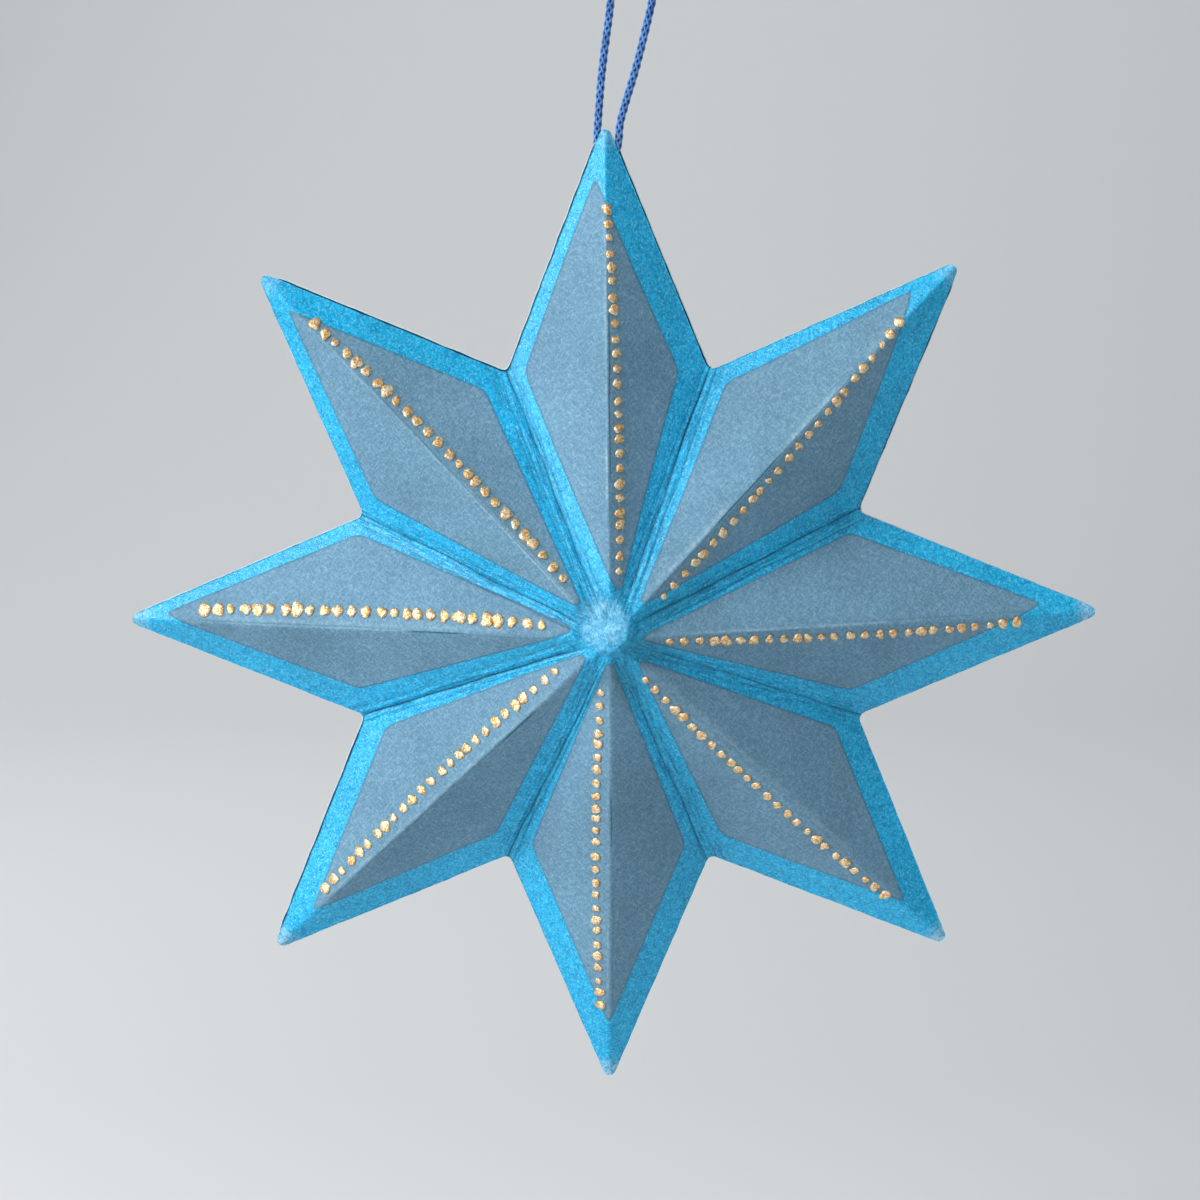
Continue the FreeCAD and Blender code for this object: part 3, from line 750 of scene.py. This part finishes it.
def folded_sheet(sheet, materials):
    mesh = flat_star()
    count = len(mesh.vertices)
    flat = np.zeros(count * 3, np.float32)
    mesh.vertices.foreach_get("co", flat)
    flat = flat.reshape(-1, 3).astype(float)
    under = np.zeros(count, np.int32)
    mesh.attributes["under"].data.foreach_get("value", under)
    mesh.attributes.remove(mesh.attributes["under"])

    # The UV maps hold along and across the ray of each face, the same as the print strays, and the dark and
    # pale masks: creases with painted shade, and scuffs with a painted highlight
    corners = np.zeros(len(mesh.loops), np.int32)
    mesh.loops.foreach_get("vertex_index", corners)
    sizes = np.zeros(len(mesh.polygons), np.int32)
    mesh.polygons.foreach_get("loop_total", sizes)
    middles = np.zeros(len(mesh.polygons) * 3, np.float32)
    mesh.polygons.foreach_get("center", middles)
    ray = np.repeat(ray_places(middles.reshape(-1, 3))[0], sizes)
    angle = ray * 2 * HALF_RAY
    at = flat[corners]
    along = at[:, 0] * np.sin(angle) + at[:, 1] * np.cos(angle)
    across = at[:, 0] * np.cos(angle) - at[:, 1] * np.sin(angle)
    stray = np.array([(*inner, *outer, bend) for inner, outer, bend in sheet["prints"]])[ray]
    share = (along - stray[:, 0]) / (stray[:, 2] - stray[:, 0])
    middle = stray[:, 1] + (stray[:, 3] - stray[:, 1]) * share + 4 * stray[:, 4] * share * (1 - share)
    drawn = PRINT_START + (PRINT_END - PRINT_START) * share
    dark_and_pale = [mask * UV_UNIT for mask in dark_and_pale_masks(sheet, ray, along, across)]
    for name, first, second in (("fold", along, across), ("print", drawn, across - middle), ("dark_and_pale", *dark_and_pale)):
        layer = mesh.uv_layers.new(name=name)
        layer.data.foreach_set("uv", (np.stack((first, second), axis=1) / UV_UNIT).astype(np.float32).ravel())

    ray, along, across = ray_places(flat)
    set_points(mesh, stood_up(sheet, folded(sheet, ray, along, across, under)))
    if sheet["faces"] > 0:
        mesh.flip_normals()
    return shown(sheet["name"], mesh, materials)


# Height of a dab over the paper at each ring of points, from its top to its underside
DAB_PROFILE = (0.36, 0.36, 0.22, 0.03, -0.1, -0.15, -0.15)


def gold_dots(sheet, material):
    """Dabs of relief paint in a row beside each ridge, laid over the folded paper."""
    draw = random.Random(sheet["seed"] + 40)
    dabs = bmesh.new()
    number_of_ray = dabs.verts.layers.int.new("ray")
    for ray, (first, last) in enumerate(sheet["dots"]):
        for step, dot_size in zip(DOT_STEPS, DOT_SIZES):
            share = step / DOT_STEPS[-1]
            middle_along = first[0] + (last[0] - first[0]) * share
            middle_across = first[1] + (last[1] - first[1]) * share + DOT_BULGE * 4 * share * (1 - share)
            middle_across += draw.uniform(-0.06, 0.06)
            size = DOT_RADIUS * dot_size * sheet["dab"][ray] * draw.uniform(0.95, 1.05)
            lobes = [(draw.uniform(0.03, 0.13), draw.uniform(0, 6.3)) for _ in range(3)]
            made = bmesh.ops.create_uvsphere(dabs, u_segments=12, v_segments=len(DAB_PROFILE) - 1, radius=1.0)
            for vertex in made["verts"]:
                x, y, z = vertex.co
                turn = math.atan2(y, x)
                edge = size * (1 + sum(depth * math.sin((k + 2) * turn + start)
                                       for k, (depth, start) in enumerate(lobes)))
                # A dried dab has a broad top with a crinkled skin, and steep sides
                ring = round(math.acos(max(-1, min(1, z))) / math.pi * (len(DAB_PROFILE) - 1))
                lift = DAB_PROFILE[ring]
                lift += 0.035 * draw.uniform(-1, 1) if z > 0.1 else 0.0
                vertex.co = (middle_across + x * edge, middle_along + y * edge, lift)
                vertex[number_of_ray] = ray
    for face in dabs.faces:
        face.smooth = True
    mesh = bpy.data.meshes.new(sheet["name"] + "_dots")
    dabs.to_mesh(mesh)
    dabs.free()
    places = np.zeros(len(mesh.vertices) * 3, np.float32)
    mesh.vertices.foreach_get("co", places)
    places = places.reshape(-1, 3).astype(float)
    rays = np.zeros(len(mesh.vertices), np.int32)
    mesh.attributes["ray"].data.foreach_get("value", rays)
    mesh.attributes.remove(mesh.attributes["ray"])
    points = folded(sheet, rays, places[:, 1], places[:, 0], np.zeros(len(rays)))
    points[:, 2] += places[:, 2]
    set_points(mesh, stood_up(sheet, points))
    if sheet["faces"] > 0:
        mesh.flip_normals()
    return shown(sheet["name"] + "_dots", mesh, [material])


FRONT = {
    "name": "front_sheet", "seed": 11, "faces": -1.0, "tips": TIP_SHIFTS, "corners": CORNER_SHIFTS,
    "prints": PRINTS, "dots": DOT_ROWS, "dab": [0.93, 0.9, 0.97, 0.97, 0.93, 1.0, 1.12, 1.05],
    "ridges": RIDGE_ROUNDS, "dark_and_pale": RIDGE_WEAR, "valleys": VALLEY_FOLDS, "spread": [(0.0, 0.0)] * RAYS,
    "tip_wear": TIP_WEAR,
}
# The back sheet is folded and printed like the front one, turned by three rays. Its edge stands out a
# little where the two were glued out of line, on the anticlockwise and the clockwise side of each ray
BACK = dict(
    FRONT, name="back_sheet", seed=29, faces=1.0, dab=[1.0] * RAYS, prints=PRINTS[3:] + PRINTS[:3],
    dots=DOT_ROWS[3:] + DOT_ROWS[:3], ridges=RIDGE_ROUNDS[3:] + RIDGE_ROUNDS[:3],
    valleys=VALLEY_FOLDS[3:] + VALLEY_FOLDS[:3],
    dark_and_pale=[((row[0] - 3) % RAYS, *row[1:]) for row in RIDGE_WEAR],
    spread=[(0.33, 0.33), (0.05, 0.3), (0.1, 0.05), (0.0, 0.0),
            (0.0, 0.1), (0.05, 0.35), (0.1, 0.1), (0.1, 0.35)],
)

paper = printed_paper()
undyed = undyed_paper()
gold = gold_paint()
for sheet, node, slot in ((FRONT, "front_star", "front_paper"), (BACK, "back_star", "back_paper")):
    piece = folded_sheet(sheet, [paper, undyed])
    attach(piece, "root")
    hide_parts(node)
    dots = gold_dots(sheet, gold)
    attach(dots, "root")
    print(sheet["name"], "faces", len(piece.data.polygons), "corners", len(piece.data.loops))


# Floor, backdrop and light

def plain_stage():
    """Pale paper sweep under and behind the star."""
    sweep = bmesh.new()
    bmesh.ops.create_grid(sweep, x_segments=1, y_segments=1, size=1.0)
    bmesh.ops.scale(sweep, vec=(1.6, 1.1, 1.0), verts=sweep.verts[:])
    far = [item for item in sweep.edges if all(vertex.co.y > 1.0 for vertex in item.verts)]
    raised = bmesh.ops.extrude_edge_only(sweep, edges=far)["geom"]
    top = [item for item in raised if isinstance(item, bmesh.types.BMVert)]
    bmesh.ops.translate(sweep, vec=(0.0, 0.0, 1.8), verts=top)
    bmesh.ops.bevel(sweep, geom=far, offset=0.5, segments=16, profile=0.5, affect="EDGES", material=-1)
    bmesh.ops.translate(sweep, vec=(0.0, 0.1, STAR_CENTRE.z - 0.17), verts=sweep.verts[:])
    bmesh.ops.recalc_face_normals(sweep, faces=sweep.faces[:])
    for face in sweep.faces:
        face.smooth = True
    mesh = bpy.data.meshes.new("sweep")
    sweep.to_mesh(mesh)
    sweep.free()
    material = new_material("matt_white_sweep")
    tree = material.node_tree
    shader = add(tree, "BsdfPrincipled", {"Base Color": linear("#E2E4E5"), "Roughness": 0.9})
    add(tree, "OutputMaterial", {0: shader})
    piece = shown("sweep", mesh, [material])


def softbox(name, way, distance, sizes, power, longways=(0.0, 0.0, 1.0), toward=None):
    """Lamp that stands off the star in a direction and looks at it, or another way. Its first size is
    measured longways."""
    lamp = bpy.data.lights.new(name, "AREA")
    lamp.shape = "RECTANGLE"
    lamp.size, lamp.size_y = sizes
    lamp.energy = power
    holder = bpy.data.objects.new(name, lamp)
    bpy.context.collection.objects.link(holder)
    stand = STAR_CENTRE + Vector(way).normalized() * distance
    back = -Vector(toward).normalized() if toward else (stand - STAR_CENTRE).normalized()
    right = (Vector(longways) - back * back.dot(Vector(longways))).normalized()
    turn = Matrix((right, back.cross(right), back)).transposed().to_4x4()
    holder.matrix_world = Matrix.Translation(stand) @ turn


def pale_room(strength):
    world = bpy.data.worlds.new("pale_room")
    bpy.context.scene.world = world
    world.use_nodes = True
    tree = world.node_tree
    tree.nodes.clear()
    shader = add(tree, "Background", {0: linear("#F4F8FC"), 1: strength})
    add(tree, "OutputWorld", {0: shader})


plain_stage()
# The key is a tall window at the upper left, seen in the satin of the facets that face up and left
softbox("key", (-0.709, -0.459, 0.535), 0.72, (0.74, 0.20), 5.9, longways=(0.643, -0.121, 0.757))
softbox("fill", (0.5, -0.8, 0.45), 0.8, (0.6, 0.6), 1.0)
softbox("back_fill", (-0.8, 0.6, 0.6), 0.9, (0.4, 0.4), 2.2)
softbox("backdrop_lamp", (0.0, 0.55, 0.75), 0.7, (0.6, 0.6), 1.6, longways=(1, 0, 0),
        toward=(0.0, 1.0, -0.2))
pale_room(0.3)
bpy.context.scene.view_settings.view_transform = "Standard"
